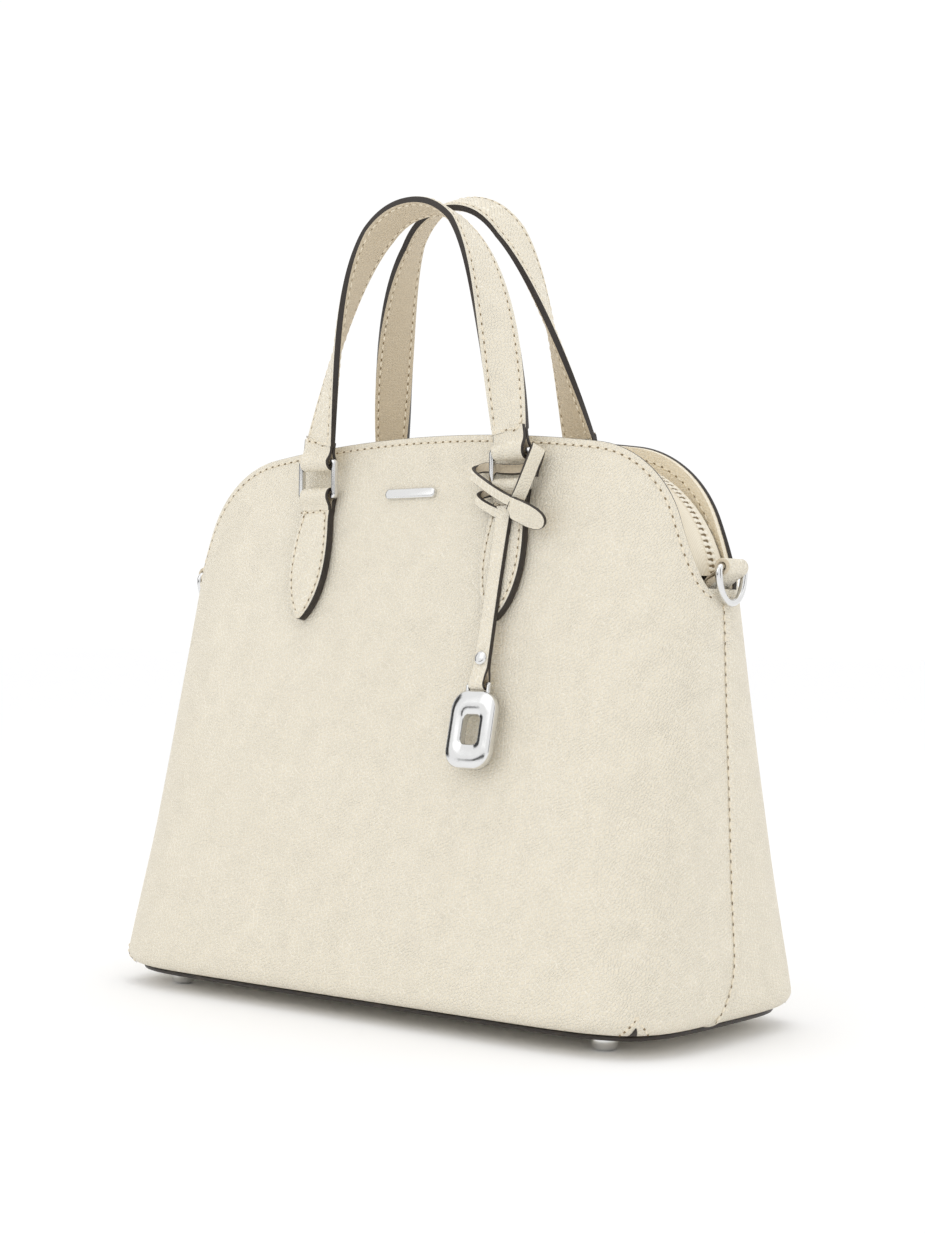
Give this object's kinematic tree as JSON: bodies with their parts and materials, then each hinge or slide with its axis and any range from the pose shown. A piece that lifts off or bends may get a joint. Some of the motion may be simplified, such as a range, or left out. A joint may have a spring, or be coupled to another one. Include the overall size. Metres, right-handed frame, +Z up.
{
  "type": "shopper bag",
  "caption": "Soft leather shopper bag with a domed zip top, twisted carrying handles on rectangular rings, end D-rings, base studs and a hanging tag.",
  "frame": {"origin": "middle of the footprint on the ground, under the base studs", "axes": "+Z up, +X towards the bag's right end as seen from the front, -Y towards the front panel"},
  "size_m": [0.3486, 0.1534, 0.4102],
  "materials": {
    "leather": "pebbled cream leather with a dark painted edge",
    "facing_leather": "smooth beige leather",
    "edge_leather": "dark painted leather",
    "board": "matte stiffening board",
    "lining_cloth": "woven cloth",
    "zip_tape": "woven tape with moulded elements",
    "bright_metal": "polished plated metal"
  },
  "bodies": {
    "bag": {"back_facing": "facing_leather", "back_left_chape": "leather", "back_panel": "leather", "back_right_chape": "leather", "back_zip_tape": "zip_tape", "base_board": "board", "base_panel": "edge_leather", "charm_band": "leather", "foot_back_left": "bright_metal", "foot_back_right": "bright_metal", "foot_front_left": "bright_metal", "foot_front_right": "bright_metal", "front_facing": "facing_leather", "front_left_chape": "leather", "front_panel": "leather", "front_right_chape": "leather", "front_zip_tape": "zip_tape", "inner_pocket": "lining_cloth", "left_end_tab": "leather", "lining": "lining_cloth", "right_end_tab": "leather"},
    "front_left_ring_body": {"front_left_ring": "bright_metal"},
    "front_right_ring_body": {"front_right_ring": "bright_metal"},
    "front_handle_body": {"front_handle": "leather"},
    "back_left_ring_body": {"back_left_ring": "bright_metal"},
    "back_right_ring_body": {"back_right_ring": "bright_metal"},
    "back_handle_body": {"back_handle": "leather"},
    "left_d_ring_body": {"left_d_ring": "bright_metal"},
    "right_d_ring_body": {"right_d_ring": "bright_metal"},
    "slider_body": {"zip_slider": "bright_metal", "zip_slider_underside": "bright_metal"},
    "puller_body": {"zip_puller": "bright_metal"},
    "charm_strap_body": {"charm_strap": "leather", "charm_rivet": "bright_metal"},
    "charm_tag_body": {"charm_tag": "bright_metal"}
  },
  "joints": [
    {"name": "front_left_ring_swing", "type": "hinge", "parent": "bag", "child": "front_left_ring_body", "pos_m": [-0.063, -0.02913, 0.256], "axis": [1, 0, 0], "range_deg": [0, 75]},
    {"name": "front_right_ring_swing", "type": "hinge", "parent": "bag", "child": "front_right_ring_body", "pos_m": [0.063, -0.02913, 0.256], "axis": [1, 0, 0], "range_deg": [0, 75]},
    {"name": "front_handle_swing", "type": "hinge", "parent": "front_left_ring_body", "child": "front_handle_body", "pos_m": [-0.063, -0.02913, 0.2736], "axis": [1, 0, 0], "range_deg": [-2, 86]},
    {"name": "back_left_ring_swing", "type": "hinge", "parent": "bag", "child": "back_left_ring_body", "pos_m": [-0.063, 0.02913, 0.256], "axis": [-1, 0, 0], "range_deg": [0, 75]},
    {"name": "back_right_ring_swing", "type": "hinge", "parent": "bag", "child": "back_right_ring_body", "pos_m": [0.063, 0.02913, 0.256], "axis": [-1, 0, 0], "range_deg": [0, 75]},
    {"name": "back_handle_swing", "type": "hinge", "parent": "back_left_ring_body", "child": "back_handle_body", "pos_m": [-0.063, 0.02913, 0.2736], "axis": [-1, 0, 0], "range_deg": [-1, 98]},
    {"name": "left_d_ring_swing", "type": "hinge", "parent": "bag", "child": "left_d_ring_body", "pos_m": [-0.1687, 0, 0.2175], "axis": [0, 1, 0], "range_deg": [0, 160]},
    {"name": "right_d_ring_swing", "type": "hinge", "parent": "bag", "child": "right_d_ring_body", "pos_m": [0.1687, 0, 0.2175], "axis": [0, -1, 0], "range_deg": [0, 160]},
    {"name": "slider_travel", "type": "hinge", "parent": "bag", "child": "slider_body", "pos_m": [0, 0, -0.4785], "axis": [0, 1, 0], "range_deg": [0, 14.6]},
    {"name": "puller_flip", "type": "hinge", "parent": "slider_body", "child": "puller_body", "pos_m": [-0.09635, 0, 0.27335], "axis": [0, 1, 0], "range_deg": [0, 160]},
    {"name": "charm_strap_sway", "type": "hinge", "parent": "bag", "child": "charm_strap_body", "pos_m": [0.063, -0.03539, 0.23752], "axis": [0, -0.9768, 0.2142], "range_deg": [-20, 20]},
    {"name": "charm_tag_swing", "type": "hinge", "parent": "charm_strap_body", "child": "charm_tag_body", "pos_m": [0.063, -0.05189, 0.16231], "axis": [-1, 0, 0], "range_deg": [0, 20]}
  ],
  "couplings": [
    {"joint": "front_right_ring_swing", "follows": "front_left_ring_swing", "ratio": 1},
    {"joint": "back_right_ring_swing", "follows": "back_left_ring_swing", "ratio": 1}
  ]
}
